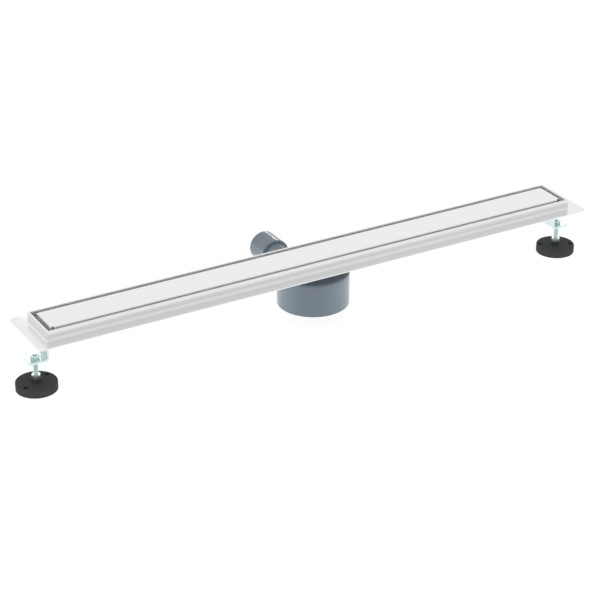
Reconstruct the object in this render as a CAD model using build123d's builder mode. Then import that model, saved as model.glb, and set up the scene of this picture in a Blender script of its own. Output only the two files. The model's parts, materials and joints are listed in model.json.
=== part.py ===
"""Linear shower drain: a folded steel channel with a cover plate, a round trap and two levelling feet.

Millimetres. The origin is the middle of the cover at finished floor level, so the cover's top and
the rim's top lie at z = 0. X runs along the channel, Y points out of the outlet and Z points up.
"""
import os

from build123d import *

# Channel: one folded sheet
slot_length = 950.0  # inside the rim, along X
slot_width = 69.0  # inside the rim, along Y
channel_sheet = 1.2
flange_end = 26.4  # slot's edge to the flange's edge, along X
flange_side = 25.0  # slot's edge to the flange's edge, along Y
flange_drop = 15.9  # rim's top to the flange's top
flange_corner_radius = 8.0
flange_root_radius = 4.0  # fold between flange and upstand
rim_width = 3.6  # sheet folded back on itself with a narrow gap, open below
upstand_corner_radius = 1.5
trough_bend = 2.0  # inside radius between floor and walls
end_depth = 23.0  # rim's top to the trough's floor at its ends
middle_depth = 26.5  # rim's top to the trough's floor at the waste
level_margin = 20.0  # level floor beyond the waste's seat and beyond each bracket's leg

# Cover plate
cover_gap = 6.8  # slot all round the cover
cover_sheet = 1.5
cover_bend = 0.5  # inside radius of the folds
cover_skirt = 10.0  # depth of the folded edges
relief_length = 3.5  # notch in each long fold beside the end fold, along X

# Cover supports
supports_per_half = 3
support_length = 14.0  # along X
support_beam = 4.0  # thickness above the arch
support_leg = 9.0  # width of each leg, along Y
support_waste_gap = 60.0  # waste's seat to the middle of the nearest support
support_end_gap = 40.0  # slot's end to the middle of the last support
support_clearance = 0.4
ridge_clearance = 1.0  # ridge's top to the cover's underside

# Waste flange, as large as the trough's floor takes
seat_margin = 1.0  # pressed seat's edge to the start of the trough's bends
seat_clearance = 0.3
waste_lip = 1.5  # thickness of the lip, flush with the floor
waste_lip_width = 3.8  # lip outside the sleeve
waste_sleeve_wall = 2.9
waste_length = 16.0
waste_ledge = 2.0  # height of the ledge that carries the dip tube
waste_ledge_width = 3.0
thread_clearance = 0.1
hole_clearance = 0.4  # sleeve to the drain hole in the trough

# Hair strainer
strainer_sheet = 1.0
strainer_rim = 3.0  # width of the rim on the waste flange
strainer_depth = 4.0
strainer_clearance = 0.5
strainer_hole_radius = 2.2
strainer_rings = ((6, 0.38), (12, 0.76))  # holes in each ring, ring's share of the dish's radius

# Trap
gasket_thickness = 1.2
trap_radius = 59.0
trap_height = 56.2  # lid's top to the base
trap_wall = 3.0
trap_base_radius = 1.0
lid_thickness = 3.5
lid_edge_radius = 2.0
lid_collar = 12.0  # threaded collar's length from the lid's top
lid_collar_wall = 4.0
lid_spigot = 4.0  # ring that fits inside the body's wall
lid_spigot_wall = 2.3
lid_clearance = 0.15
weir_height = 34.0  # trap's floor to the weir's top
weir_wall = 1.8
weir_gap = 9.0  # dip tube to the weir
seal_depth = 25.0  # weir's top to the dip tube's end

# Dip tube
tube_wall = 1.5
tube_clearance = 0.5  # tube to the ledge's bore
tube_collar = 6.0  # height of the collar on the ledge
collar_clearance = 0.2  # collar to the sleeve's bore
ring_section = 2.0  # diameter of the seal ring's section
ring_groove_width = 2.6
ring_clearance = 0.05
lift_bar = 3.0  # width and depth of the bar across the tube

# Outlet
outlet_rise = 31.6  # trap's base to the outlet's axis
outlet_radius = 25.0
outlet_wall = 3.0
neck_radius = 20.0
neck_wall = 3.0
neck_reach = 65.0  # trap's wall to the sleeve's near face
sleeve_length = 43.0
sleeve_edge_radius = 1.0
socket_depth = 24.0  # neck's length inside the sleeve
socket_stop = 2.0  # ledge that stops the neck
socket_clearance = 0.15
seal_width = 4.0
seal_depth_radial = 2.0
seal_offset = 6.0  # sleeve's near face to the seal's groove
seal_clearance = 0.05

# Brackets
bracket_sheet = 3.0
bracket_width = 28.0  # along Y
bracket_bend = 2.0  # inside radius of the folds
bracket_leg = 30.0  # leg under the trough's floor
bracket_inset = 3.9  # slot's end to the web's outer face
tab_drop = 60.0  # finished floor to the tab's top
tab_reach = 28.9  # web's outer face to the tab's end
tab_corner_radius = 3.0

# Feet
foot_offset = 14.5  # web's outer face to the foot's axis
foot_drop = 111.8  # finished floor to the foot's underside
foot_radius = 32.5
foot_height = 12.5
foot_edge_radius = 1.2
foot_skin = 3.0  # thickness of the foot's top
foot_wall = 3.5
foot_rib = 2.0
foot_ribs = 6
boss_radius = 7.0
boss_height = 5.7  # above the foot's top
fixing_hole_radius = 4.0
fixing_hole_circle = 51.0  # diameter through the two holes
fixing_column_wall = 2.5
foot_turns = {"left": 28.5, "right": -29.0}  # degrees from X to the line through the holes

# Levelling rods and nuts, M8
rod_radius = 3.95
rod_seat = 2.5  # foot's underside to the rod's end
rod_seat_clearance = 0.05
rod_proud = 1.5  # rod's end above the bracket's nut
rod_chamfer = 0.8
nut_thread_radius = 4.0
nut_across_flats = 13.0
nut_height = 6.5
nut_corner_height = 0.9  # height lost at a corner to the nut's turned chamfer
tab_hole_clearance = 0.5

# Worked-out places of the channel
half_slot = slot_length / 2
half_width = slot_width / 2
flange_length = slot_length + 2 * flange_end
flange_width = slot_width + 2 * flange_side
flange_underside = -flange_drop - channel_sheet
seat_radius = half_width - trough_bend - seat_margin
level_end = bracket_inset + bracket_leg + level_margin
level_middle = seat_radius + level_margin

# Worked-out places of the waste and the trap, from the trough's floor down
floor_level = -middle_depth
seat_level = floor_level - waste_lip
seat_underside = seat_level - channel_sheet
lid_top = seat_underside - gasket_thickness
lid_underside = lid_top - lid_thickness
trap_base = lid_top - trap_height
trap_floor = trap_base + trap_wall
weir_top = trap_floor + weir_height
lip_radius = seat_radius - seat_clearance
sleeve_radius = lip_radius - waste_lip_width
sleeve_bore = sleeve_radius - waste_sleeve_wall
ledge_bore = sleeve_bore - waste_ledge_width
waste_end = floor_level - waste_length
ledge_level = waste_end + waste_ledge
drain_hole_radius = sleeve_radius + hole_clearance
tube_radius = ledge_bore - tube_clearance
tube_end = weir_top - seal_depth
weir_bore = tube_radius + weir_gap
trap_bore = trap_radius - trap_wall
neck_bore = neck_radius - neck_wall
outlet_level = trap_base + outlet_rise
sleeve_near = trap_radius + neck_reach
neck_end = sleeve_near + socket_depth

# Worked-out places of the brackets and feet
bracket_level = -end_depth - channel_sheet
web_face = half_slot - bracket_inset
foot_axis = web_face + foot_offset
tab_level = -tab_drop
foot_base = -foot_drop
foot_top = foot_base + foot_height
boss_top = foot_top + boss_height
rod_base = foot_base + rod_seat
rod_top = tab_level + nut_height + rod_proud
sides = {"left": -1, "right": 1}

os.makedirs("parts", exist_ok=True)


def floor_depth(x):
    """Depth of the trough's floor below the rim: level at the ends and the waste, graded between."""
    fall_start = half_slot - level_end
    share = (abs(x) - level_middle) / (fall_start - level_middle)
    share = min(max(share, 0.0), 1.0)
    return middle_depth + share * (end_depth - middle_depth)


def write(builder, name):
    """Label a finished piece and write it as a STEP file of the same name."""
    builder.part.label = name
    export_step(builder.part, f"parts/{name}.step")


# Folded channel: flange, upstand with a folded rim, and graded trough with a pressed seat for the waste
floor_breaks = [-half_slot + level_end, -level_middle, level_middle, half_slot - level_end]

with BuildPart() as channel_body:
    with BuildSketch(Plane.XY.offset(-flange_drop)):
        Rectangle(slot_length + 2 * rim_width, slot_width + 2 * rim_width)
    extrude(amount=flange_drop)
    fillet(channel_body.edges().filter_by(Axis.Z), upstand_corner_radius)
    with BuildSketch(Plane.XY.offset(-flange_drop)):
        RectangleRounded(flange_length, flange_width, flange_corner_radius)
    extrude(amount=-channel_sheet)
    root_edges = (
        channel_body.faces()
        .filter_by(Axis.Z)
        .filter_by(lambda face: abs(face.center().Z + flange_drop) < channel_sheet / 2)
        .sort_by(SortBy.AREA)[-1]
        .inner_wires()[0]
        .edges()
    )
    fillet(root_edges, flange_root_radius)

    outer_ends = half_slot + channel_sheet
    for station in (-outer_ends, *floor_breaks, outer_ends):
        underside = floor_depth(station) + channel_sheet
        with BuildSketch(Plane.YZ.offset(station)) as outer_section:
            with Locations((0, -(flange_drop + underside) / 2)):
                Rectangle(slot_width + 2 * channel_sheet, underside - flange_drop)
            fillet(outer_section.vertices().group_by(Axis.Y)[0], trough_bend + channel_sheet)
    loft(ruled=True)
    with BuildSketch(Plane.XY.offset(seat_underside)):
        Circle(seat_radius + channel_sheet)
    extrude(amount=waste_lip + channel_sheet / 2)

    for station in (-half_slot, *floor_breaks, half_slot):
        depth = floor_depth(station)
        with BuildSketch(Plane.YZ.offset(station)) as inner_section:
            with Locations((0, (channel_sheet - depth) / 2)):
                Rectangle(slot_width, depth + channel_sheet)
            fillet(inner_section.vertices().group_by(Axis.Y)[0], trough_bend)
    loft(ruled=True, mode=Mode.SUBTRACT)
    with BuildSketch(Plane.XY.offset(seat_level)):
        Circle(seat_radius)
    extrude(amount=waste_lip + channel_sheet, mode=Mode.SUBTRACT)
    with BuildSketch(Plane.XY.offset(seat_level)):
        Circle(drain_hole_radius)
    extrude(amount=-2 * channel_sheet, mode=Mode.SUBTRACT)

    # Gap inside the folded rim, open below, with the sheet bent round its outer edge
    fold_reach = 2 * (rim_width - channel_sheet)
    fold_corner_radius = upstand_corner_radius - channel_sheet
    with BuildSketch(Plane.XY.offset(flange_underside)):
        RectangleRounded(slot_length + fold_reach, slot_width + fold_reach, fold_corner_radius)
        Rectangle(slot_length + 2 * channel_sheet, slot_width + 2 * channel_sheet, mode=Mode.SUBTRACT)
    extrude(amount=flange_drop, mode=Mode.SUBTRACT)
    underside_edges = (
        channel_body.faces()
        .filter_by(Axis.Z)
        .filter_by(lambda face: abs(face.center().Z - flange_underside) < channel_sheet / 2)
        .sort_by(SortBy.AREA)[-1]
        .inner_wires()[0]
        .edges()
    )
    fillet(underside_edges, flange_root_radius + channel_sheet)
    fillet(channel_body.faces().sort_by(Axis.Z)[-1].edges(), channel_sheet)
write(channel_body, "channel_body")

# Cover plate: a sheet with its four edges folded down, the long folds notched beside the end folds
cover_length = slot_length - 2 * cover_gap
cover_width = slot_width - 2 * cover_gap
relief_depth = cover_bend + cover_sheet

with BuildPart() as cover_plate:
    with BuildSketch():
        Rectangle(cover_length, cover_width)
    extrude(amount=-cover_skirt)
    fillet(cover_plate.faces().sort_by(Axis.Z)[-1].edges(), cover_bend + cover_sheet)
    offset(amount=-cover_sheet, openings=cover_plate.faces().sort_by(Axis.Z)[0])
    with BuildSketch():
        with GridLocations(cover_length - 2 * cover_sheet - relief_length, cover_width, 2, 2):
            Rectangle(relief_length, 2 * relief_depth)
    extrude(amount=-cover_skirt, mode=Mode.SUBTRACT)
write(cover_plate, "cover_plate")

# Cover supports: arched bridges on the trough's floor, with a ridge that centres the cover
support_width = slot_width - 2 * support_clearance
ridge_width = cover_width - 2 * (cover_sheet + support_clearance)
ridge_top = -cover_sheet - ridge_clearance
shoulder_level = -cover_skirt
first_support = seat_radius + support_waste_gap
last_support = half_slot - support_end_gap
support_pitch = (last_support - first_support) / (supports_per_half - 1)
support_places = [first_support + support_pitch * i for i in range(supports_per_half)]
support_places = [-x for x in reversed(support_places)] + support_places

for number, place in enumerate(support_places, start=1):
    support_foot = -floor_depth(abs(place) + support_length / 2)
    support_height = shoulder_level - support_foot
    arch_height = support_height - support_beam
    with BuildPart() as cover_support:
        with BuildSketch(Plane.YZ.offset(place)) as support_profile:
            with Locations((0, support_foot)):
                Rectangle(support_width, support_height, align=(Align.CENTER, Align.MIN))
            chamfer(support_profile.vertices().group_by(Axis.Y)[0], trough_bend)
            with Locations((0, shoulder_level)):
                Rectangle(ridge_width, ridge_top - shoulder_level, align=(Align.CENTER, Align.MIN))
            with Locations((0, support_foot)):
                Rectangle(
                    support_width - 2 * support_leg,
                    arch_height,
                    align=(Align.CENTER, Align.MIN),
                    mode=Mode.SUBTRACT,
                )
        extrude(amount=support_length / 2, both=True)
        arch_top = cover_support.edges().filter_by(Axis.X).filter_by(
            lambda edge: abs(edge.center().Z - support_foot - arch_height) < support_beam / 2
            and abs(edge.center().Y) < support_width / 2 - support_leg / 2
        )
        fillet(arch_top, min(support_beam, arch_height / 2))
    write(cover_support, f"cover_support_{number}")

# Waste flange: a lip in the pressed seat and a threaded sleeve with a ledge for the dip tube
with BuildPart() as waste_flange:
    with BuildSketch(Plane.XZ):
        with BuildLine():
            Polyline(
                (sleeve_bore, floor_level),
                (lip_radius, floor_level),
                (lip_radius, seat_level),
                (sleeve_radius, seat_level),
                (sleeve_radius, waste_end),
                (ledge_bore, waste_end),
                (ledge_bore, ledge_level),
                (sleeve_bore, ledge_level),
                close=True,
            )
        make_face()
    revolve(axis=Axis.Z)
write(waste_flange, "waste_flange")

# Hair strainer: a perforated dish that hangs by its rim in the waste flange
dish_radius = sleeve_bore - strainer_clearance

with BuildPart() as hair_strainer:
    with BuildSketch(Plane.XZ):
        with BuildLine():
            Polyline(
                (0, floor_level - strainer_depth),
                (dish_radius, floor_level - strainer_depth),
                (dish_radius, floor_level),
                (sleeve_bore + strainer_rim, floor_level),
                (sleeve_bore + strainer_rim, floor_level + strainer_sheet),
                (dish_radius - strainer_sheet, floor_level + strainer_sheet),
                (dish_radius - strainer_sheet, floor_level - strainer_depth + strainer_sheet),
                (0, floor_level - strainer_depth + strainer_sheet),
                close=True,
            )
        make_face()
    revolve(axis=Axis.Z)
    with BuildSketch(Plane.XY.offset(floor_level - strainer_depth)):
        Circle(strainer_hole_radius)
        for holes, share in strainer_rings:
            with PolarLocations(share * dish_radius, holes):
                Circle(strainer_hole_radius)
    extrude(amount=strainer_sheet, mode=Mode.SUBTRACT)
write(hair_strainer, "hair_strainer")

# Flat gasket between the trough's seat and the trap's lid
with BuildPart() as trap_gasket:
    with BuildSketch(Plane.XY.offset(lid_top)):
        Circle(seat_radius + channel_sheet)
        Circle(drain_hole_radius, mode=Mode.SUBTRACT)
    extrude(amount=gasket_thickness)
write(trap_gasket, "trap_gasket")

# Trap lid: a disc with a threaded collar for the waste flange and a ring inside the body's wall
collar_bore = sleeve_radius + thread_clearance
collar_end = lid_top - lid_collar
spigot_radius = trap_bore - lid_clearance
spigot_end = lid_underside - lid_spigot

with BuildPart() as trap_lid:
    with BuildSketch(Plane.XZ):
        with BuildLine():
            Polyline(
                (collar_bore, lid_top),
                (trap_radius, lid_top),
                (trap_radius, lid_underside),
                (spigot_radius, lid_underside),
                (spigot_radius, spigot_end),
                (spigot_radius - lid_spigot_wall, spigot_end),
                (spigot_radius - lid_spigot_wall, lid_underside),
                (collar_bore + lid_collar_wall, lid_underside),
                (collar_bore + lid_collar_wall, collar_end),
                (collar_bore, collar_end),
                close=True,
            )
        make_face()
    revolve(axis=Axis.Z)
    lid_rim = trap_lid.edges().filter_by(GeomType.CIRCLE).group_by(Axis.Z)[-1].sort_by(SortBy.RADIUS)[-1]
    fillet(lid_rim, lid_edge_radius)
write(trap_lid, "trap_lid")

# Trap body: a round cup with a weir round the dip tube and a neck towards the outlet
outlet_plane = Plane(origin=(0, 0, outlet_level), x_dir=(1, 0, 0), z_dir=(0, 1, 0))

with BuildPart() as trap_body:
    with BuildSketch(Plane.XY.offset(trap_base)):
        Circle(trap_radius)
    extrude(amount=lid_underside - trap_base)
    fillet(trap_body.faces().sort_by(Axis.Z)[0].edges(), trap_base_radius)
    with BuildSketch(outlet_plane):
        Circle(neck_radius)
    extrude(amount=neck_end)
    with BuildSketch(Plane.XY.offset(trap_floor)):
        Circle(trap_bore)
    extrude(amount=lid_underside - trap_floor, mode=Mode.SUBTRACT)
    with BuildSketch(outlet_plane):
        Circle(neck_bore)
    extrude(amount=neck_end, mode=Mode.SUBTRACT)
    with BuildSketch(Plane.XY.offset(trap_floor)):
        Circle(weir_bore + weir_wall)
        Circle(weir_bore, mode=Mode.SUBTRACT)
    extrude(amount=weir_height)
write(trap_body, "trap_body")

# Dip tube: hangs by its collar on the waste flange's ledge, with a bar to lift it by
collar_radius = sleeve_bore - collar_clearance
collar_top = ledge_level + tube_collar
groove_radius = sleeve_bore - ring_section - 2 * ring_clearance
groove_level = ledge_level + tube_collar / 2

with BuildPart() as dip_tube:
    with BuildSketch(Plane.XZ):
        with BuildLine():
            Polyline(
                (tube_radius - tube_wall, tube_end),
                (tube_radius, tube_end),
                (tube_radius, ledge_level),
                (collar_radius, ledge_level),
                (collar_radius, groove_level - ring_groove_width / 2),
                (groove_radius, groove_level - ring_groove_width / 2),
                (groove_radius, groove_level + ring_groove_width / 2),
                (collar_radius, groove_level + ring_groove_width / 2),
                (collar_radius, collar_top),
                (tube_radius - tube_wall, collar_top),
                close=True,
            )
        make_face()
    revolve(axis=Axis.Z)
    with BuildSketch(Plane.XY.offset(collar_top)):
        Rectangle(2 * tube_radius - tube_wall, lift_bar)
    extrude(amount=-lift_bar)
write(dip_tube, "dip_tube")

# Seal ring in the dip tube's groove
with BuildPart() as dip_tube_ring:
    with Locations((0, 0, groove_level)):
        Torus(groove_radius + ring_clearance + ring_section / 2, ring_section / 2)
write(dip_tube_ring, "dip_tube_ring")

# Outlet sleeve: a pipe-sized end pushed over the trap's neck, with a groove for its seal
socket_bore = neck_radius + socket_clearance
groove_bore = neck_radius + seal_depth_radial + seal_clearance

with BuildPart() as outlet_sleeve:
    with BuildSketch(outlet_plane.offset(sleeve_near)):
        Circle(outlet_radius)
    extrude(amount=sleeve_length)
    fillet(outlet_sleeve.edges().filter_by(GeomType.CIRCLE), sleeve_edge_radius)
    with BuildSketch(outlet_plane.offset(sleeve_near)):
        Circle(socket_bore)
    extrude(amount=socket_depth, mode=Mode.SUBTRACT)
    with BuildSketch(outlet_plane.offset(sleeve_near + seal_offset)):
        Circle(groove_bore)
    extrude(amount=seal_width + 2 * seal_clearance, mode=Mode.SUBTRACT)
    with BuildSketch(outlet_plane.offset(neck_end)):
        Circle(neck_bore)
    extrude(amount=socket_stop, mode=Mode.SUBTRACT)
    with BuildSketch(outlet_plane.offset(sleeve_near + sleeve_length)):
        Circle(outlet_radius - outlet_wall)
    extrude(amount=socket_depth + socket_stop - sleeve_length, mode=Mode.SUBTRACT)
write(outlet_sleeve, "outlet_sleeve")

# Outlet seal: a square ring between neck and sleeve
with BuildPart() as outlet_seal:
    with BuildSketch(outlet_plane.offset(sleeve_near + seal_offset + seal_clearance)):
        Circle(neck_radius + seal_depth_radial)
        Circle(neck_radius + seal_clearance, mode=Mode.SUBTRACT)
    extrude(amount=seal_width)
write(outlet_seal, "outlet_seal")

# Each end: bracket, its welded nut, and the foot with its rod and lock nut
for side, direction in sides.items():
    axis_x = direction * foot_axis
    web_middle = web_face - bracket_sheet / 2
    leg_middle = bracket_level - bracket_sheet / 2
    tab_middle = tab_level - bracket_sheet / 2

    # Z bracket folded from strip
    with BuildPart() as bracket:
        with BuildSketch(Plane.XZ):
            with BuildLine():
                FilletPolyline(
                    (direction * (web_face - bracket_leg), leg_middle),
                    (direction * web_middle, leg_middle),
                    (direction * web_middle, tab_middle),
                    (direction * (web_face + tab_reach), tab_middle),
                    radius=bracket_bend + bracket_sheet / 2,
                )
            trace(line_width=bracket_sheet)
        extrude(amount=bracket_width / 2, both=True)
        tab_corners = bracket.edges().filter_by(Axis.Z).sort_by(Axis.X)
        fillet(tab_corners[-2:] if direction > 0 else tab_corners[:2], tab_corner_radius)
        with BuildSketch(Plane((axis_x, 0, tab_level))):
            Circle(rod_radius + tab_hole_clearance)
        extrude(amount=-bracket_sheet, mode=Mode.SUBTRACT)
    write(bracket, f"bracket_{side}")

    # Hexagon nuts with turned corners: one welded on the tab, one locking the rod on the foot
    for name, nut_level in (("bracket_nut", tab_level), ("lock_nut", boss_top)):
        corner_radius = nut_across_flats / 3**0.5
        face_radius = nut_across_flats / 2
        with BuildPart() as nut:
            with BuildSketch(Plane((axis_x, 0, nut_level))):
                RegularPolygon(face_radius, 6, major_radius=False)
                Circle(nut_thread_radius, mode=Mode.SUBTRACT)
            extrude(amount=nut_height)
            with BuildSketch(Plane((axis_x, 0, nut_level), x_dir=(1, 0, 0), z_dir=(0, -1, 0))):
                with BuildLine():
                    Polyline(
                        (0, 0),
                        (face_radius, 0),
                        (corner_radius, nut_corner_height),
                        (corner_radius, nut_height - nut_corner_height),
                        (face_radius, nut_height),
                        (0, nut_height),
                        close=True,
                    )
                make_face()
            revolve(axis=Axis((axis_x, 0, 0), (0, 0, 1)), mode=Mode.INTERSECT)
        write(nut, f"{name}_{side}")

    # Levelling rod
    with BuildPart() as foot_rod:
        with BuildSketch(Plane((axis_x, 0, rod_base))):
            Circle(rod_radius)
        extrude(amount=rod_top - rod_base)
        chamfer(foot_rod.faces().sort_by(Axis.Z)[-1].edges(), rod_chamfer)
    write(foot_rod, f"foot_rod_{side}")

    # Moulded foot: ribbed disc with a boss for the rod and two fixing holes
    foot_plane = Plane((axis_x, 0, foot_base)).rotated((0, 0, foot_turns[side]))
    recess_depth = foot_height - foot_skin
    with BuildPart() as foot:
        with BuildSketch(foot_plane):
            Circle(foot_radius)
        extrude(amount=foot_height)
        fillet(foot.faces().sort_by(Axis.Z)[-1].edges(), foot_edge_radius)
        with BuildSketch(foot_plane) as recess:
            Circle(foot_radius - foot_wall)
            Circle(boss_radius, mode=Mode.SUBTRACT)
            with PolarLocations(0, foot_ribs // 2, start_angle=180 / foot_ribs):
                Rectangle(2 * foot_radius, foot_rib, mode=Mode.SUBTRACT)
            with GridLocations(fixing_hole_circle, 0, 2, 1):
                Circle(fixing_hole_radius + fixing_column_wall, mode=Mode.SUBTRACT)
        extrude(amount=recess_depth, mode=Mode.SUBTRACT)
        with BuildSketch(foot_plane.offset(foot_height)):
            Circle(boss_radius)
        extrude(amount=boss_height)
        with BuildSketch(foot_plane):
            with GridLocations(fixing_hole_circle, 0, 2, 1):
                Circle(fixing_hole_radius)
        extrude(amount=foot_height, mode=Mode.SUBTRACT)
        with BuildSketch(foot_plane.offset(rod_seat)):
            Circle(rod_radius + rod_seat_clearance)
        extrude(amount=foot_height + boss_height, mode=Mode.SUBTRACT)
    write(foot, f"foot_{side}")
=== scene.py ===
"""Dresses a linear shower drain in steel, zinc and plastic, cuts its threads and sets a pale studio."""
import json
import math

import bmesh
import bpy
from bpy.props import FloatProperty, FloatVectorProperty, IntProperty, PointerProperty
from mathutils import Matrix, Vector


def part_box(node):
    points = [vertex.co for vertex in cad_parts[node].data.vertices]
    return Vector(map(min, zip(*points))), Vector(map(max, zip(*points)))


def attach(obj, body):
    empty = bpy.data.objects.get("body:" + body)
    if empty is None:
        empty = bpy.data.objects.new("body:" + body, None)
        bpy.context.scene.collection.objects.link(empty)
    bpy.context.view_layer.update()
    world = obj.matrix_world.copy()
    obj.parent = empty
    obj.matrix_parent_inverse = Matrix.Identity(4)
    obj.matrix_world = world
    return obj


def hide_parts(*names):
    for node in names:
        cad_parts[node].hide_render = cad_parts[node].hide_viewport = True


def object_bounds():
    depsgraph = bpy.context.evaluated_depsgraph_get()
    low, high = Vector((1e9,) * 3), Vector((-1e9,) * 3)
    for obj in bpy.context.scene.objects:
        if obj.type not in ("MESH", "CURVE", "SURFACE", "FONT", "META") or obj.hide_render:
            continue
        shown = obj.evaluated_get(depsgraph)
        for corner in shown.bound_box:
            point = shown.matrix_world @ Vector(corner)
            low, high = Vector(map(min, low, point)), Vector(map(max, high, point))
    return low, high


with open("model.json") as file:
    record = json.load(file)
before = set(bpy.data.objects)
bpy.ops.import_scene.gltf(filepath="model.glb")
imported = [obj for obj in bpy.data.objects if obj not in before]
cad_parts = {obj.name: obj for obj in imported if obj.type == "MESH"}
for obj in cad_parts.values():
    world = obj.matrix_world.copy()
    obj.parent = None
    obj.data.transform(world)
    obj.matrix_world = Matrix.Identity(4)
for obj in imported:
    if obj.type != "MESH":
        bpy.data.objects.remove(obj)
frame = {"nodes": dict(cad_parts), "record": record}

bl_info = {
    "name": "Linear Shower Drain",
    "version": (1, 0, 0),
    "blender": (4, 5, 0),
    "location": "3D View > Sidebar > Drain",
    "description": "Finishes, screw threads and studio for a linear shower drain",
    "category": "Object",
}

CAD_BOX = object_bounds()
SIDES = ("left", "right")
WHITE = (1.0, 1.0, 1.0, 1.0)
OPENINGS = {opening["name"]: opening["box_m"] for opening in frame["record"]["physics"]["openings"]}
SLOT_HALF = OPENINGS["back_slot"][1][:2]  # half the slot's clear length and width


# Settings

class StageSettings(bpy.types.PropertyGroup):
    """Camera, floor, studio light and lamps."""

    azimuth: FloatProperty(
        name="Azimuth", description="Camera's turn about the upright, from looking along +Y",
        default=math.radians(-29.92), subtype="ANGLE")
    elevation: FloatProperty(
        name="Elevation", description="Camera's height above the horizon",
        default=math.radians(26.98), subtype="ANGLE")
    target: FloatVectorProperty(
        name="Target", description="Point at floor level that the camera looks at",
        default=(-0.1009, -0.1249, 0.0), subtype="TRANSLATION", unit="LENGTH")
    distance: FloatProperty(
        name="Distance", description="Camera to its target", default=3.0672, unit="LENGTH")
    reach: FloatProperty(
        name="Reach", description="Furthest distance that the camera sees", default=100.0, unit="LENGTH")
    lens: FloatProperty(
        name="Lens", description="Focal length on a 36 mm sensor", default=121.24, unit="CAMERA")

    floor_size: FloatProperty(
        name="Floor size", description="Side of the square floor", default=16.0, unit="LENGTH")
    floor_colour: FloatVectorProperty(
        name="Floor colour", description="Pale matt floor", default=(0.18, 0.18, 0.18), subtype="COLOR")
    floor_rough: FloatProperty(
        name="Floor roughness", description="Roughness of the floor", default=0.9, subtype="FACTOR")
    floor_glow: FloatProperty(
        name="Floor glow", description="Light that the floor gives off, so that shadows stay faint",
        default=0.9)

    backdrop: FloatProperty(
        name="Backdrop", description="Brightness of the lit backdrop behind the drain", default=0.96)
    backdrop_core: FloatProperty(
        name="Backdrop core", description="Angle from the backdrop's middle to where it starts to fade",
        default=math.radians(24), subtype="ANGLE")
    backdrop_spread: FloatProperty(
        name="Backdrop spread", description="Angle from the backdrop's middle to where it has faded out",
        default=math.radians(72), subtype="ANGLE")
    studio: FloatProperty(
        name="Studio", description="Brightness of the studio away from the backdrop", default=0.76)

    lamp_blend: FloatProperty(
        name="Lamp blend", description="Softness of the edge of a lamp's cone", default=0.5,
        subtype="FACTOR")
    rim_turn: FloatProperty(
        name="Rim turn", description="Angle from the backdrop's middle to each side lamp",
        default=math.radians(78), subtype="ANGLE")
    rim_distance: FloatProperty(
        name="Rim distance", description="Side lamp to the trap", default=1.2, unit="LENGTH")
    rim_power: FloatProperty(
        name="Rim power", description="Power of the lamp at each side of the trap", default=60.0,
        unit="POWER")
    rim_cone: FloatProperty(
        name="Rim cone", description="Width of a side lamp's cone",
        default=math.radians(7), subtype="ANGLE")
    rim_size: FloatProperty(
        name="Rim size", description="Radius of a side lamp", default=0.08, unit="LENGTH")

    sheen_turn: FloatProperty(
        name="Sheen turn", description="Angle from the backdrop's middle to the lamp behind the outlet",
        default=math.radians(6.5), subtype="ANGLE")
    sheen_rise: FloatProperty(
        name="Sheen rise", description="Height of the lamp behind the outlet above the horizon",
        default=math.radians(16.4), subtype="ANGLE")
    sheen_distance: FloatProperty(
        name="Sheen distance", description="Lamp behind the outlet to the outlet", default=0.6,
        unit="LENGTH")
    sheen_power: FloatProperty(
        name="Sheen power", description="Power of the lamp behind the outlet", default=0.7, unit="POWER")
    sheen_cone: FloatProperty(
        name="Sheen cone", description="Width of the cone of the lamp behind the outlet",
        default=math.radians(6), subtype="ANGLE")
    sheen_size: FloatProperty(
        name="Sheen size", description="Radius of the lamp behind the outlet", default=0.04,
        unit="LENGTH")

    glint_drop: FloatProperty(
        name="Glint drop", description="Angle of a foot's lamp below the camera's mirror image",
        default=math.radians(5), subtype="ANGLE")
    glint_distance: FloatProperty(
        name="Glint distance", description="Lamp behind a foot to its rod", default=0.6, unit="LENGTH")
    glint_power: FloatProperty(
        name="Glint power", description="Power of the lamp behind each foot, which level faces mirror",
        default=0.2, unit="POWER")
    glint_cone: FloatProperty(
        name="Glint cone", description="Width of the cone of the lamp behind a foot",
        default=math.radians(6), subtype="ANGLE")
    glint_size: FloatProperty(
        name="Glint size", description="Radius of the lamp behind a foot", default=0.02, unit="LENGTH")


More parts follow.
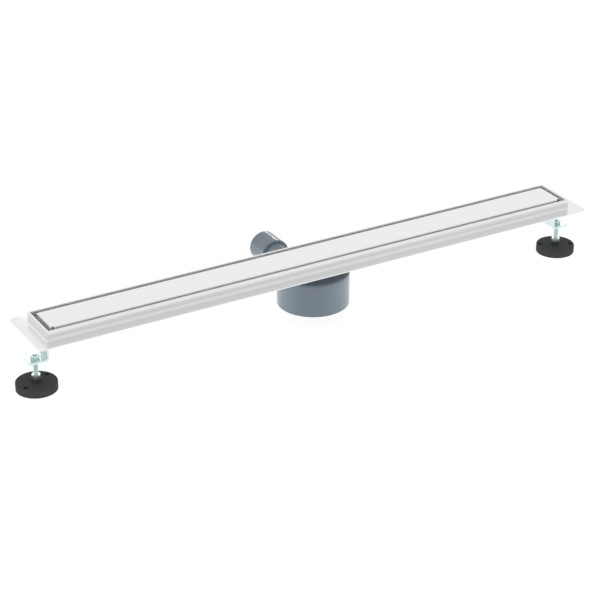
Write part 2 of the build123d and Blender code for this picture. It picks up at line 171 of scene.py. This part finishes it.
class FinishSettings(bpy.types.PropertyGroup):
    """Colours, grain and roughness of the drain's finishes."""

    cover_steel: FloatVectorProperty(
        name="Cover steel", description="Brushed stainless cover", default=(0.88, 0.88, 0.88),
        subtype="COLOR")
    channel_steel: FloatVectorProperty(
        name="Channel steel", description="Rolled stainless channel", default=(0.88, 0.88, 0.885),
        subtype="COLOR")
    brush_length: FloatProperty(
        name="Brush length", description="Length of a brush line", default=0.09, unit="LENGTH")
    brush_width: FloatProperty(
        name="Brush width", description="Width of a brush line", default=0.0007, precision=5,
        unit="LENGTH")
    brush_depth: FloatProperty(
        name="Brush depth", description="Depth of a brush line", default=0.00001, precision=6,
        unit="LENGTH")
    brush_relief: FloatProperty(
        name="Brush relief", description="Strength of the brush lines' bump", default=0.25,
        subtype="FACTOR")
    steel_haze: FloatProperty(
        name="Steel haze", description="Size of the clouds in the steel's gloss", default=0.16,
        unit="LENGTH")
    steel_spread: FloatProperty(
        name="Steel spread", description="Most that the steel's roughness departs from its middle",
        default=0.06, subtype="FACTOR")
    matt_steel: FloatProperty(
        name="Matt steel", description="Roughness of steel that is left pickled, inside the slot",
        default=0.62, subtype="FACTOR")
    slot_margin: FloatProperty(
        name="Slot margin", description="Reach of the matt steel past the slot's clear width",
        default=0.0005, precision=5, unit="LENGTH")
    cover_edge: FloatProperty(
        name="Cover edge", description="Depth of the cover's brushed edge", default=0.0018, precision=5,
        unit="LENGTH")

    zinc: FloatVectorProperty(
        name="Zinc", description="Blue-passivated zinc plate", default=(0.70, 0.82, 0.815),
        subtype="COLOR")
    zinc_cloud: FloatProperty(
        name="Zinc cloud", description="Size of the clouds in the zinc", default=0.006, precision=5,
        unit="LENGTH")
    zinc_tone: FloatProperty(
        name="Zinc tone", description="Most that a cloud lightens or darkens the zinc", default=0.10,
        subtype="FACTOR")
    zinc_rough: FloatProperty(
        name="Zinc roughness", description="Middle roughness of the zinc", default=0.25, subtype="FACTOR")
    zinc_spread: FloatProperty(
        name="Zinc spread", description="Most that the zinc's roughness departs from its middle",
        default=0.05, subtype="FACTOR")
    zinc_depth: FloatProperty(
        name="Zinc depth", description="Depth of the clouds in the zinc", default=0.00002, precision=6,
        unit="LENGTH")
    zinc_relief: FloatProperty(
        name="Zinc relief", description="Strength of the zinc's bump", default=0.2, subtype="FACTOR")

    trap_plastic: FloatVectorProperty(
        name="Trap plastic", description="Blue-grey moulded trap", default=(0.160, 0.200, 0.235),
        subtype="COLOR")
    foot_plastic: FloatVectorProperty(
        name="Foot plastic", description="Black moulded feet", default=(0.059, 0.059, 0.059),
        subtype="COLOR")
    inner_plastic: FloatVectorProperty(
        name="Inner plastic", description="Dark grey mouldings inside the drain",
        default=(0.09, 0.09, 0.095), subtype="COLOR")
    rubber: FloatVectorProperty(
        name="Rubber", description="Seals and gasket", default=(0.022, 0.022, 0.022), subtype="COLOR")
    mould_grain: FloatProperty(
        name="Mould grain", description="Size of the moulded grain", default=0.0006, precision=5,
        unit="LENGTH")
    mould_relief: FloatProperty(
        name="Mould relief", description="Strength of the moulded grain's bump", default=0.3,
        subtype="FACTOR")
    mould_haze: FloatProperty(
        name="Mould haze", description="Size of the clouds on moulded plastic", default=0.03,
        unit="LENGTH")
    mould_tone: FloatProperty(
        name="Mould tone", description="Most that a cloud lightens or darkens the plastic", default=0.06,
        subtype="FACTOR")
    mould_spread: FloatProperty(
        name="Mould spread", description="Most that the plastic's roughness departs from its middle",
        default=0.05, subtype="FACTOR")
    coat_rough: FloatProperty(
        name="Coat roughness", description="Roughness of the plastic's skin", default=0.12,
        subtype="FACTOR")
    matt_plastic: FloatProperty(
        name="Matt plastic", description="Roughness of the trap's neck, unpolished behind the channel",
        default=0.85, subtype="FACTOR")


class ThreadSettings(bpy.types.PropertyGroup):
    """Screw thread of the levelling rods."""

    pitch: FloatProperty(
        name="Pitch", description="Rise of the thread in one turn", default=0.00125, precision=5,
        unit="LENGTH")
    depth: FloatProperty(
        name="Depth", description="Crest to root", default=0.00072, precision=5, unit="LENGTH")
    flat: FloatProperty(
        name="Flat", description="Share of the thread's flank that is flat at crest and root",
        default=0.12, subtype="FACTOR")
    around: IntProperty(
        name="Around", description="Corners round the rod", default=40)
    rings: IntProperty(
        name="Rings", description="Rings in one turn of the thread", default=8)
    weld: FloatProperty(
        name="Weld", description="Points of the thread nearer than this become one", default=0.000002,
        precision=6, unit="LENGTH")
    sharp: FloatProperty(
        name="Sharp", description="Edges that turn by more than this stay sharp",
        default=math.radians(35), subtype="ANGLE")


# Places

def middle(node):
    """Middle of a CAD node's box."""
    low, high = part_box(node)
    return (low + high) / 2


def direction(turn, rise):
    """A direction turned clockwise from +Y as seen from above, and raised above the horizon."""
    level = math.cos(rise)
    return Vector((math.sin(turn) * level, math.cos(turn) * level, math.sin(rise)))


# Node tools

def add_node(tree, kind, **values):
    """Add a node, set its plain attributes, and return it."""
    node = tree.nodes.new(kind)
    for name, value in values.items():
        setattr(node, name, value)
    return node


def math_node(tree, operation, first, second=None, clamp=False):
    """A Math node whose inputs are sockets or numbers; returns its output."""
    node = add_node(tree, "ShaderNodeMath", operation=operation, use_clamp=clamp)
    for socket, value in zip(node.inputs, (first, second)):
        if isinstance(value, bpy.types.NodeSocket):
            tree.links.new(value, socket)
        elif value is not None:
            socket.default_value = value
    return node.outputs[0]


def mean_node(tree, first, second):
    """Mean of two sockets; returns the output."""
    return math_node(tree, "MULTIPLY", math_node(tree, "ADD", first, second), 0.5)


def range_node(tree, value, low, high):
    """Map 0 to 1 onto low to high; returns the output."""
    node = add_node(tree, "ShaderNodeMapRange")
    tree.links.new(value, node.inputs["Value"])
    node.inputs["To Min"].default_value = low
    node.inputs["To Max"].default_value = high
    return node.outputs["Result"]


def new_group(name, inputs, outputs):
    """An empty shader group that takes a vector and named numbers; returns the tree and its end nodes."""
    tree = bpy.data.node_groups.new(name, "ShaderNodeTree")
    tree.interface.new_socket("Vector", in_out="INPUT", socket_type="NodeSocketVector")
    for label, kind in inputs:
        tree.interface.new_socket(label, in_out="INPUT", socket_type=f"NodeSocket{kind}")
    for label in outputs:
        tree.interface.new_socket(label, in_out="OUTPUT", socket_type="NodeSocketFloat")
    return tree, add_node(tree, "NodeGroupInput").outputs, add_node(tree, "NodeGroupOutput").inputs


# Shared effects

def brushed_grain():
    """Fine lines along X, as a brush or a mill roll leaves them, and broader bands of them."""
    tree, given, result = new_group(
        "brushed_grain", (("Length", "Float"), ("Width", "Float")), ("Line", "Band"))
    along = math_node(tree, "DIVIDE", 1.0, given["Length"])
    across = math_node(tree, "DIVIDE", 1.0, given["Width"])
    stretch = add_node(tree, "ShaderNodeCombineXYZ")
    tree.links.new(along, stretch.inputs["X"])
    tree.links.new(across, stretch.inputs["Y"])
    tree.links.new(across, stretch.inputs["Z"])
    for label, scale, detail in (("Line", 1.0, 2.0), ("Band", 0.12, 1.0)):
        scaled = add_node(tree, "ShaderNodeVectorMath", operation="MULTIPLY")
        tree.links.new(given["Vector"], scaled.inputs[0])
        tree.links.new(stretch.outputs["Vector"], scaled.inputs[1])
        noise = add_node(tree, "ShaderNodeTexNoise")
        noise.inputs["Scale"].default_value = scale
        noise.inputs["Detail"].default_value = detail
        tree.links.new(scaled.outputs["Vector"], noise.inputs["Vector"])
        tree.links.new(noise.outputs["Fac"], result[label])
    return tree


def surface_haze():
    """Soft clouds, as handling, plating and cooling leave them on a clean surface."""
    tree, given, result = new_group("surface_haze", (("Size", "Float"),), ("Haze",))
    noise = add_node(tree, "ShaderNodeTexNoise")
    noise.inputs["Detail"].default_value = 3.0
    tree.links.new(given["Vector"], noise.inputs["Vector"])
    tree.links.new(math_node(tree, "DIVIDE", 1.0, given["Size"]), noise.inputs["Scale"])
    tree.links.new(noise.outputs["Fac"], result["Haze"])
    return tree


def sheltered():
    """Mask of the surfaces inside an upright box and below its top, which no brush or polish reaches."""
    tree, given, result = new_group(
        "sheltered",
        (("Middle", "Vector"), ("Half Length", "Float"), ("Half Width", "Float"), ("Top", "Float")),
        ("Mask",))
    from_middle = add_node(tree, "ShaderNodeVectorMath", operation="SUBTRACT")
    tree.links.new(given["Vector"], from_middle.inputs[0])
    tree.links.new(given["Middle"], from_middle.inputs[1])
    place = add_node(tree, "ShaderNodeSeparateXYZ")
    tree.links.new(from_middle.outputs["Vector"], place.inputs[0])
    inside = math_node(tree, "LESS_THAN", place.outputs["Z"], given["Top"])
    for axis, label in (("X", "Half Length"), ("Y", "Half Width")):
        reach = math_node(tree, "ABSOLUTE", place.outputs[axis])
        within = math_node(tree, "LESS_THAN", reach, given[label])
        inside = math_node(tree, "MULTIPLY", inside, within)
    tree.links.new(inside, result["Mask"])
    return tree


def moulded_grain():
    """Fine pebbled grain of a spark-eroded mould."""
    tree, given, result = new_group("moulded_grain", (("Size", "Float"),), ("Grain",))
    cells = add_node(tree, "ShaderNodeTexVoronoi", feature="SMOOTH_F1")
    tree.links.new(given["Vector"], cells.inputs["Vector"])
    tree.links.new(math_node(tree, "DIVIDE", 1.0, given["Size"]), cells.inputs["Scale"])
    tree.links.new(cells.outputs["Distance"], result["Grain"])
    return tree


# Materials

def start_material(name):
    """A new material; returns it and its Principled BSDF."""
    material = bpy.data.materials.new(name)
    if material.name != name:
        raise RuntimeError(f"{name}: another material has that name")
    material.use_nodes = True
    return material, material.node_tree.nodes["Principled BSDF"]


def start_finish(name):
    """A material for the drain; returns its tree, its shader and Object coordinates."""
    material, shader = start_material(name)
    tree = material.node_tree
    return tree, shader, add_node(tree, "ShaderNodeTexCoord").outputs["Object"]


def place_group(tree, group, vector, **values):
    """Put a shared effect in a material with its own values; returns its outputs."""
    node = add_node(tree, "ShaderNodeGroup", node_tree=group)
    tree.links.new(vector, node.inputs["Vector"])
    for name, value in values.items():
        node.inputs[name].default_value = value
    return node.outputs


def vary_colour(tree, shader, colour, amount, share):
    """Lighten and darken a base colour by a share, where amount is 0.5 for no change."""
    mix = add_node(tree, "ShaderNodeMix", data_type="RGBA")
    tree.links.new(amount, mix.inputs["Factor"])
    mix.inputs["A"].default_value = [max(0.0, c * (1 - share)) for c in colour] + [1.0]
    mix.inputs["B"].default_value = [min(1.0, c * (1 + share)) for c in colour] + [1.0]
    tree.links.new(mix.outputs["Result"], shader.inputs["Base Color"])


def vary_roughness(tree, shader, rough, spread, amount, extra=None):
    """Roughness that departs from its middle by up to a spread, with anything extra added."""
    shine = range_node(tree, amount, rough - spread, rough + spread)
    if extra is not None:
        shine = math_node(tree, "ADD", shine, extra)
    tree.links.new(shine, shader.inputs["Roughness"])


def dullness(tree, groups, vector, shelter, extra):
    """Extra roughness where the surface is sheltered; returns the output."""
    mask = place_group(tree, groups["sheltered"], vector, **shelter)["Mask"]
    return math_node(tree, "MULTIPLY", mask, extra)


def add_bump(tree, shader, height, depth, strength):
    """Bump of a real depth in metres."""
    bump = add_node(tree, "ShaderNodeBump")
    bump.inputs["Distance"].default_value = depth
    bump.inputs["Strength"].default_value = strength
    tree.links.new(height, bump.inputs["Height"])
    tree.links.new(bump.outputs["Normal"], shader.inputs["Normal"])


def steel_material(name, colour, groups, finish, shelter, rough, line_share):
    """Stainless sheet with fine lines along the drain, matt where it is sheltered."""
    tree, shader, vector = start_finish(name)
    shader.inputs["Metallic"].default_value = 1.0
    grain = place_group(
        tree, groups["brushed_grain"], vector, Length=finish.brush_length, Width=finish.brush_width)
    haze = place_group(tree, groups["surface_haze"], vector, Size=finish.steel_haze)
    vary_colour(tree, shader, colour, mean_node(tree, grain["Line"], grain["Band"]), line_share)
    vary_roughness(
        tree, shader, rough, finish.steel_spread, mean_node(tree, grain["Line"], haze["Haze"]),
        extra=dullness(tree, groups, vector, shelter, finish.matt_steel - rough))
    add_bump(tree, shader, grain["Line"], finish.brush_depth, finish.brush_relief)


def zinc_material(name, colour, groups, finish):
    """Zinc plate with a faint cloudy tone."""
    tree, shader, vector = start_finish(name)
    shader.inputs["Metallic"].default_value = 1.0
    cloud = place_group(tree, groups["surface_haze"], vector, Size=finish.zinc_cloud)["Haze"]
    vary_colour(tree, shader, colour, cloud, finish.zinc_tone)
    vary_roughness(tree, shader, finish.zinc_rough, finish.zinc_spread, cloud)
    add_bump(tree, shader, cloud, finish.zinc_depth, finish.zinc_relief)


def moulded_material(name, colour, groups, finish, rough, depth, gloss=0.5, coat=0.0, shelter=None):
    """Moulded plastic or rubber with a fine grain and soft clouds in its gloss."""
    tree, shader, vector = start_finish(name)
    shader.inputs["Specular IOR Level"].default_value = gloss
    shader.inputs["Coat Weight"].default_value = coat
    shader.inputs["Coat Roughness"].default_value = finish.coat_rough
    grain = place_group(tree, groups["moulded_grain"], vector, Size=finish.mould_grain)["Grain"]
    haze = place_group(tree, groups["surface_haze"], vector, Size=finish.mould_haze)["Haze"]
    vary_colour(tree, shader, colour, haze, finish.mould_tone)
    extra = dullness(tree, groups, vector, shelter, finish.matt_plastic - rough) if shelter else None
    vary_roughness(tree, shader, rough, finish.mould_spread, haze, extra=extra)
    add_bump(tree, shader, grain, depth, finish.mould_relief)


def find_shelters(finish):
    """Values of the shelter mask for steel under the cover and in the slot, and for the trap's neck."""
    half_length, half_width = (half + finish.slot_margin for half in SLOT_HALF)
    slot = {"Half Length": half_length, "Half Width": half_width}
    low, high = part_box("trap_body")
    neck_start = low.y + high.x - low.x
    neck_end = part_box("outlet_sleeve")[0].y - finish.slot_margin
    neck = {"Half Length": high.x, "Half Width": (neck_end - neck_start) / 2, "Top": high.z}
    return {
        "below_cover": {**slot, "Top": -finish.cover_edge},
        "in_slot": {**slot, "Top": -finish.slot_margin},
        "on_neck": {**neck, "Middle": (0.0, (neck_start + neck_end) / 2, 0.0)},
    }


def make_materials(finish):
    """All finishes of the drain."""
    groups = {tree.name: tree for tree in (brushed_grain(), surface_haze(), sheltered(), moulded_grain())}
    shelters = find_shelters(finish)
    steels = (
        ("cover_steel", finish.cover_steel, "below_cover", {"rough": 0.30, "line_share": 0.05}),
        ("channel_steel", finish.channel_steel, "in_slot", {"rough": 0.23, "line_share": 0.03}),
    )
    for name, colour, shelter, values in steels:
        steel_material(name, colour, groups, finish, shelters[shelter], **values)
    zinc_material("bright_zinc", finish.zinc, groups, finish)
    polished_trap = {"rough": 0.20, "depth": 0.000002, "coat": 0.15, "shelter": shelters["on_neck"]}
    mouldings = (
        ("trap_moulding", finish.trap_plastic, polished_trap),
        ("lid_moulding", finish.trap_plastic, {"rough": 0.60, "depth": 0.00002, "gloss": 0.1}),
        ("foot_moulding", finish.foot_plastic, {"rough": 0.80, "depth": 0.00004, "gloss": 0.1}),
        ("inner_moulding", finish.inner_plastic, {"rough": 0.45, "depth": 0.00002}),
        ("rubber_moulding", finish.rubber, {"rough": 0.60, "depth": 0.00002}),
    )
    for name, colour, values in mouldings:
        moulded_material(name, colour, groups, finish, **values)


def dress(nodes, name):
    """Give CAD nodes a finish."""
    for node in nodes:
        mesh = frame["nodes"][node].data
        mesh.materials.clear()
        mesh.materials.append(bpy.data.materials[name])


# Geometry Nodes for the screw thread

def thread_tree():
    """A rod with a screw thread, closed at both ends and chamfered at its top."""
    tree = bpy.data.node_groups.new("thread_rod", "GeometryNodeTree")
    tree.interface.new_socket("Geometry", in_out="OUTPUT", socket_type="NodeSocketGeometry")
    inputs = {
        "Float": ("Radius", "Depth", "Pitch", "Length", "Flat", "Chamfer", "Weld"),
        "Int": ("Around", "Rows"),
        "Vector": ("Base",),
        "Material": ("Material",),
    }
    for kind, labels in inputs.items():
        for label in labels:
            tree.interface.new_socket(label, in_out="INPUT", socket_type=f"NodeSocket{kind}")
    given = add_node(tree, "NodeGroupInput").outputs
    result = add_node(tree, "NodeGroupOutput").inputs
    link = tree.links.new

    def calc(operation, first, second=None, clamp=False):
        return math_node(tree, operation, first, second, clamp)

    # A grid of one metre round the origin: X runs round the rod and Y along it, both made 0 to 1
    grid = add_node(tree, "GeometryNodeMeshGrid")
    link(given["Around"], grid.inputs["Vertices X"])
    link(given["Rows"], grid.inputs["Vertices Y"])
    place = add_node(tree, "ShaderNodeSeparateXYZ")
    link(add_node(tree, "GeometryNodeInputPosition").outputs[0], place.inputs[0])
    half = 0.5
    turn = calc("ADD", place.outputs["X"], half)
    share = calc("ADD", place.outputs["Y"], half)

    # First and last rows close the ends, so the rows between them share the length
    last = calc("SUBTRACT", given["Rows"], 1.0)
    row = calc("MULTIPLY", share, last)
    inner = calc("DIVIDE", calc("SUBTRACT", row, 1.0), calc("SUBTRACT", last, 2.0), clamp=True)
    height = calc("MULTIPLY", inner, given["Length"])
    after_first = calc("GREATER_THAN", row, half)
    before_last = calc("LESS_THAN", row, calc("SUBTRACT", last, half))
    wall = calc("MULTIPLY", after_first, before_last)

    # Flank of the thread: 0 at the crest and 1 at the root, with flats at both
    turns_up = calc("DIVIDE", height, given["Pitch"])
    wave = calc("FRACT", calc("SUBTRACT", turns_up, turn))
    flank = calc("ABSOLUTE", calc("SUBTRACT", calc("MULTIPLY", wave, 2.0), 1.0))
    lowered = calc("SUBTRACT", flank, given["Flat"])
    span = calc("SUBTRACT", 1.0, calc("MULTIPLY", given["Flat"], 2.0))
    flank = calc("DIVIDE", lowered, span, clamp=True)
    threaded = calc("SUBTRACT", given["Radius"], calc("MULTIPLY", flank, given["Depth"]))

    # Chamfer of 45 degrees at the top, and radius 0 on the closing rows
    from_top = calc("SUBTRACT", given["Length"], height)
    cone = calc("ADD", calc("SUBTRACT", given["Radius"], given["Chamfer"]), from_top)
    radius = calc("MULTIPLY", calc("MINIMUM", threaded, cone), wall)

    angle = calc("MULTIPLY", turn, math.tau)
    spot = add_node(tree, "ShaderNodeCombineXYZ")
    link(calc("MULTIPLY", radius, calc("COSINE", angle)), spot.inputs["X"])
    link(calc("MULTIPLY", radius, calc("SINE", angle)), spot.inputs["Y"])
    link(height, spot.inputs["Z"])
    shaped = add_node(tree, "GeometryNodeSetPosition")
    link(grid.outputs["Mesh"], shaped.inputs["Geometry"])
    link(spot.outputs["Vector"], shaped.inputs["Position"])
    link(given["Base"], shaped.inputs["Offset"])
    closed = add_node(tree, "GeometryNodeMergeByDistance")
    link(given["Weld"], closed.inputs["Distance"])
    link(shaped.outputs["Geometry"], closed.inputs["Geometry"])
    realized = add_node(tree, "GeometryNodeRealizeInstances")
    link(closed.outputs["Geometry"], realized.inputs["Geometry"])
    painted = add_node(tree, "GeometryNodeSetMaterial")
    link(realized.outputs["Geometry"], painted.inputs["Geometry"])
    link(given["Material"], painted.inputs["Material"])
    link(painted.outputs["Geometry"], result["Geometry"])
    return tree


def grow(name, tree, values):
    """Run a Geometry Nodes tree and return its result as a plain mesh object at the origin."""
    seed = bpy.data.meshes.new(f"{name}_seed")
    piece = bpy.data.objects.new(name, seed)
    bpy.context.scene.collection.objects.link(piece)
    modifier = piece.modifiers.new("tree", "NODES")
    modifier.node_group = tree
    for item in tree.interface.items_tree:
        if item.in_out == "INPUT":
            modifier[item.identifier] = values[item.name]
    depsgraph = bpy.context.evaluated_depsgraph_get()
    mesh = bpy.data.meshes.new_from_object(piece.evaluated_get(depsgraph))
    if not mesh.polygons:
        raise RuntimeError(f"{name}: the tree made no faces")
    piece.modifiers.remove(modifier)
    piece.data = mesh
    bpy.data.meshes.remove(seed)
    mesh.name = name
    return piece


def face_outwards(mesh, sharp):
    """Turn the faces of a closed mesh outwards and shade it smooth but for its sharp edges."""
    shape = bmesh.new()
    shape.from_mesh(mesh)
    bmesh.ops.recalc_face_normals(shape, faces=shape.faces)
    shape.to_mesh(mesh)
    shape.free()
    mesh.shade_smooth()
    mesh.set_sharp_from_angle(angle=sharp)


def thread_values(node, thread):
    """Inputs of the thread tree for the plain rod that it takes the place of."""
    low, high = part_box(node)
    axis = middle(node)
    length = high.z - low.z
    steps = int(length / thread.pitch * thread.rings)
    closing_rows = 2
    return {
        "Radius": (high.x - low.x) / 2,
        "Depth": thread.depth,
        "Pitch": thread.pitch,
        "Length": length,
        "Flat": thread.flat,
        "Chamfer": thread.depth,
        "Weld": thread.weld,
        "Around": thread.around + 1,
        "Rows": steps + 1 + closing_rows,
        "Base": (axis.x, axis.y, low.z),
        "Material": bpy.data.materials["bright_zinc"],
    }


# Operators

class DRAIN_OT_finishes(bpy.types.Operator):
    """Make the drain's materials"""

    bl_idname = "drain.finishes"
    bl_label = "Make finishes"

    def execute(self, context):
        make_materials(context.scene.drain_finish)
        return {"FINISHED"}


class DRAIN_OT_channel(bpy.types.Operator):
    """Finish the channel, cover and strainer as stainless sheet"""

    bl_idname = "drain.channel"
    bl_label = "Finish channel and cover"

    def execute(self, context):
        dress(("channel_body",), "channel_steel")
        dress(("cover_plate", "hair_strainer"), "cover_steel")
        return {"FINISHED"}


class DRAIN_OT_trap(bpy.types.Operator):
    """Finish the trap, its lid and its outlet as moulded plastic with rubber seals"""

    bl_idname = "drain.trap"
    bl_label = "Finish trap"

    def execute(self, context):
        dress(("trap_body", "outlet_sleeve"), "trap_moulding")
        dress(("trap_lid",), "lid_moulding")
        dress(("trap_gasket", "dip_tube_ring", "outlet_seal"), "rubber_moulding")
        return {"FINISHED"}


class DRAIN_OT_inner(bpy.types.Operator):
    """Finish the mouldings inside the drain"""

    bl_idname = "drain.inner"
    bl_label = "Finish inner mouldings"

    def execute(self, context):
        supports = sorted(node for node in frame["nodes"] if node.startswith("cover_support_"))
        dress(("waste_flange", "dip_tube", *supports), "inner_moulding")
        return {"FINISHED"}


class DRAIN_OT_feet(bpy.types.Operator):
    """Finish brackets, nuts and feet, and cut the rods' threads"""

    bl_idname = "drain.feet"
    bl_label = "Finish feet and brackets"

    def execute(self, context):
        thread = context.scene.drain_thread
        tree = thread_tree()
        for side in SIDES:
            dress((f"bracket_{side}", f"bracket_nut_{side}", f"lock_nut_{side}"), "bright_zinc")
            dress((f"foot_{side}",), "foot_moulding")
            rod = grow(f"threaded_rod_{side}", tree, thread_values(f"foot_rod_{side}", thread))
            face_outwards(rod.data, thread.sharp)
            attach(rod, f"foot_{side}")
            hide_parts(f"foot_rod_{side}")
        return {"FINISHED"}


class DRAIN_OT_stage(bpy.types.Operator):
    """Set the camera, pale floor and soft light"""

    bl_idname = "drain.stage"
    bl_label = "Set stage"

    def execute(self, context):
        stage = context.scene.drain_stage
        scene = context.scene
        scene.view_settings.view_transform = "Standard"
        self.add_camera(scene, stage)
        self.add_floor(scene, stage)
        self.add_light(scene, stage)
        self.add_lamps(scene, stage)
        return {"FINISHED"}

    def add_camera(self, scene, stage):
        """A plain camera at the photograph's viewing angle."""
        camera = bpy.data.objects.new("camera", bpy.data.cameras.new("camera"))
        back = direction(math.pi - stage.azimuth, stage.elevation)
        camera.location = Vector(stage.target) + back * stage.distance
        camera.rotation_euler = (-back).to_track_quat("-Z", "Y").to_euler()
        camera.data.lens = stage.lens
        camera.data.clip_end = stage.reach
        scene.collection.objects.link(camera)
        scene.camera = camera

    def add_floor(self, scene, stage):
        """A square pale floor under the feet."""
        half = stage.floor_size / 2
        level = CAD_BOX[0].z
        corners = [(-half, -half, level), (half, -half, level), (half, half, level), (-half, half, level)]
        mesh = bpy.data.meshes.new("floor")
        mesh.from_pydata(corners, [], [(0, 1, 2, 3)])
        material, shader = start_material("floor")
        shader.inputs["Base Color"].default_value = (*stage.floor_colour, 1.0)
        shader.inputs["Roughness"].default_value = stage.floor_rough
        shader.inputs["Specular IOR Level"].default_value = 0.0
        shader.inputs["Emission Color"].default_value = WHITE
        shader.inputs["Emission Strength"].default_value = stage.floor_glow
        mesh.materials.append(material)
        floor = bpy.data.objects.new("floor", mesh)
        scene.collection.objects.link(floor)

    def add_light(self, scene, stage):
        """An evenly lit studio with a lit backdrop behind the drain, which fades out round its core."""
        world = bpy.data.worlds.new("studio")
        world.use_nodes = True
        tree = world.node_tree
        background = tree.nodes["Background"]
        background.inputs["Color"].default_value = WHITE
        facing = add_node(tree, "ShaderNodeVectorMath", operation="DOT_PRODUCT")
        tree.links.new(add_node(tree, "ShaderNodeTexCoord").outputs["Generated"], facing.inputs[0])
        facing.inputs[1].default_value = direction(-stage.azimuth, stage.elevation)
        fade = add_node(tree, "ShaderNodeMapRange", interpolation_type="SMOOTHSTEP")
        tree.links.new(facing.outputs["Value"], fade.inputs["Value"])
        fade.inputs["From Min"].default_value = math.cos(stage.backdrop_spread)
        fade.inputs["From Max"].default_value = math.cos(stage.backdrop_core)
        fade.inputs["To Min"].default_value = stage.studio
        fade.inputs["To Max"].default_value = stage.backdrop
        tree.links.new(fade.outputs["Result"], background.inputs["Strength"])
        scene.world = world

    def add_lamps(self, scene, stage):
        """Lamps at both sides of the trap's round wall, behind the outlet and behind each foot."""
        trap = middle("trap_lid")
        trap.z = middle("trap_body").z
        rim = (stage.rim_distance, stage.rim_power, stage.rim_cone, stage.rim_size)
        for side, turn in zip(SIDES, (-stage.rim_turn, stage.rim_turn)):
            self.add_lamp(scene, stage, f"{side}_lamp", trap, direction(turn - stage.azimuth, 0.0), *rim)

        behind = direction(stage.sheen_turn - stage.azimuth, stage.sheen_rise)
        sheen = (stage.sheen_distance, stage.sheen_power, stage.sheen_cone, stage.sheen_size)
        self.add_lamp(scene, stage, "sheen_lamp", middle("outlet_sleeve"), behind, *sheen)

        # Level faces mirror a foot's lamp to the camera; it is low enough to shine under the flange
        glint = (stage.glint_distance, stage.glint_power, stage.glint_cone, stage.glint_size)
        for side in SIDES:
            rod = middle(f"lock_nut_{side}")
            tab_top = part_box(f"bracket_nut_{side}")[0].z
            lock_nut_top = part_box(f"lock_nut_{side}")[1].z
            rod.z = (tab_top + lock_nut_top) / 2
            seen = rod - scene.camera.location
            rise = math.atan2(-seen.z, math.hypot(seen.x, seen.y)) - stage.glint_drop
            behind = direction(math.atan2(seen.x, seen.y), rise)
            self.add_lamp(scene, stage, f"{side}_glint", rod, behind, *glint)

    def add_lamp(self, scene, stage, name, aim, away, distance, power, cone, size):
        """A soft round lamp, away from a point and aimed at it."""
        data = bpy.data.lights.new(name, "SPOT")
        data.energy = power
        data.spot_size = cone
        data.spot_blend = stage.lamp_blend
        data.shadow_soft_size = size
        lamp = bpy.data.objects.new(name, data)
        lamp.location = aim + away * distance
        lamp.rotation_euler = away.to_track_quat("Z", "Y").to_euler()
        scene.collection.objects.link(lamp)


class DRAIN_PT_panel(bpy.types.Panel):
    """Drain's steps in order, and its settings"""

    bl_idname = "DRAIN_PT_panel"
    bl_label = "Linear Shower Drain"
    bl_space_type = "VIEW_3D"
    bl_region_type = "UI"
    bl_category = "Drain"

    def draw(self, context):
        for operator in OPERATORS:
            self.layout.operator(operator.bl_idname)
        for name, group in SETTINGS.items():
            box = self.layout.box()
            for setting in group.__annotations__:
                box.prop(getattr(context.scene, name), setting)


OPERATORS = (
    DRAIN_OT_finishes,
    DRAIN_OT_channel,
    DRAIN_OT_trap,
    DRAIN_OT_inner,
    DRAIN_OT_feet,
    DRAIN_OT_stage,
)
SETTINGS = {"drain_stage": StageSettings, "drain_finish": FinishSettings, "drain_thread": ThreadSettings}


def register():
    for cls in (*SETTINGS.values(), *OPERATORS, DRAIN_PT_panel):
        bpy.utils.register_class(cls)
    for name, cls in SETTINGS.items():
        setattr(bpy.types.Scene, name, PointerProperty(type=cls))


def unregister():
    for name in SETTINGS:
        delattr(bpy.types.Scene, name)
    for cls in (DRAIN_PT_panel, *reversed(OPERATORS), *SETTINGS.values()):
        bpy.utils.unregister_class(cls)


def main():
    """Build the dressed drain."""
    register()
    bpy.ops.drain.finishes()
    bpy.ops.drain.channel()
    bpy.ops.drain.trap()
    bpy.ops.drain.inner()
    bpy.ops.drain.feet()
    bpy.ops.drain.stage()


if __name__ == "__main__":
    main()
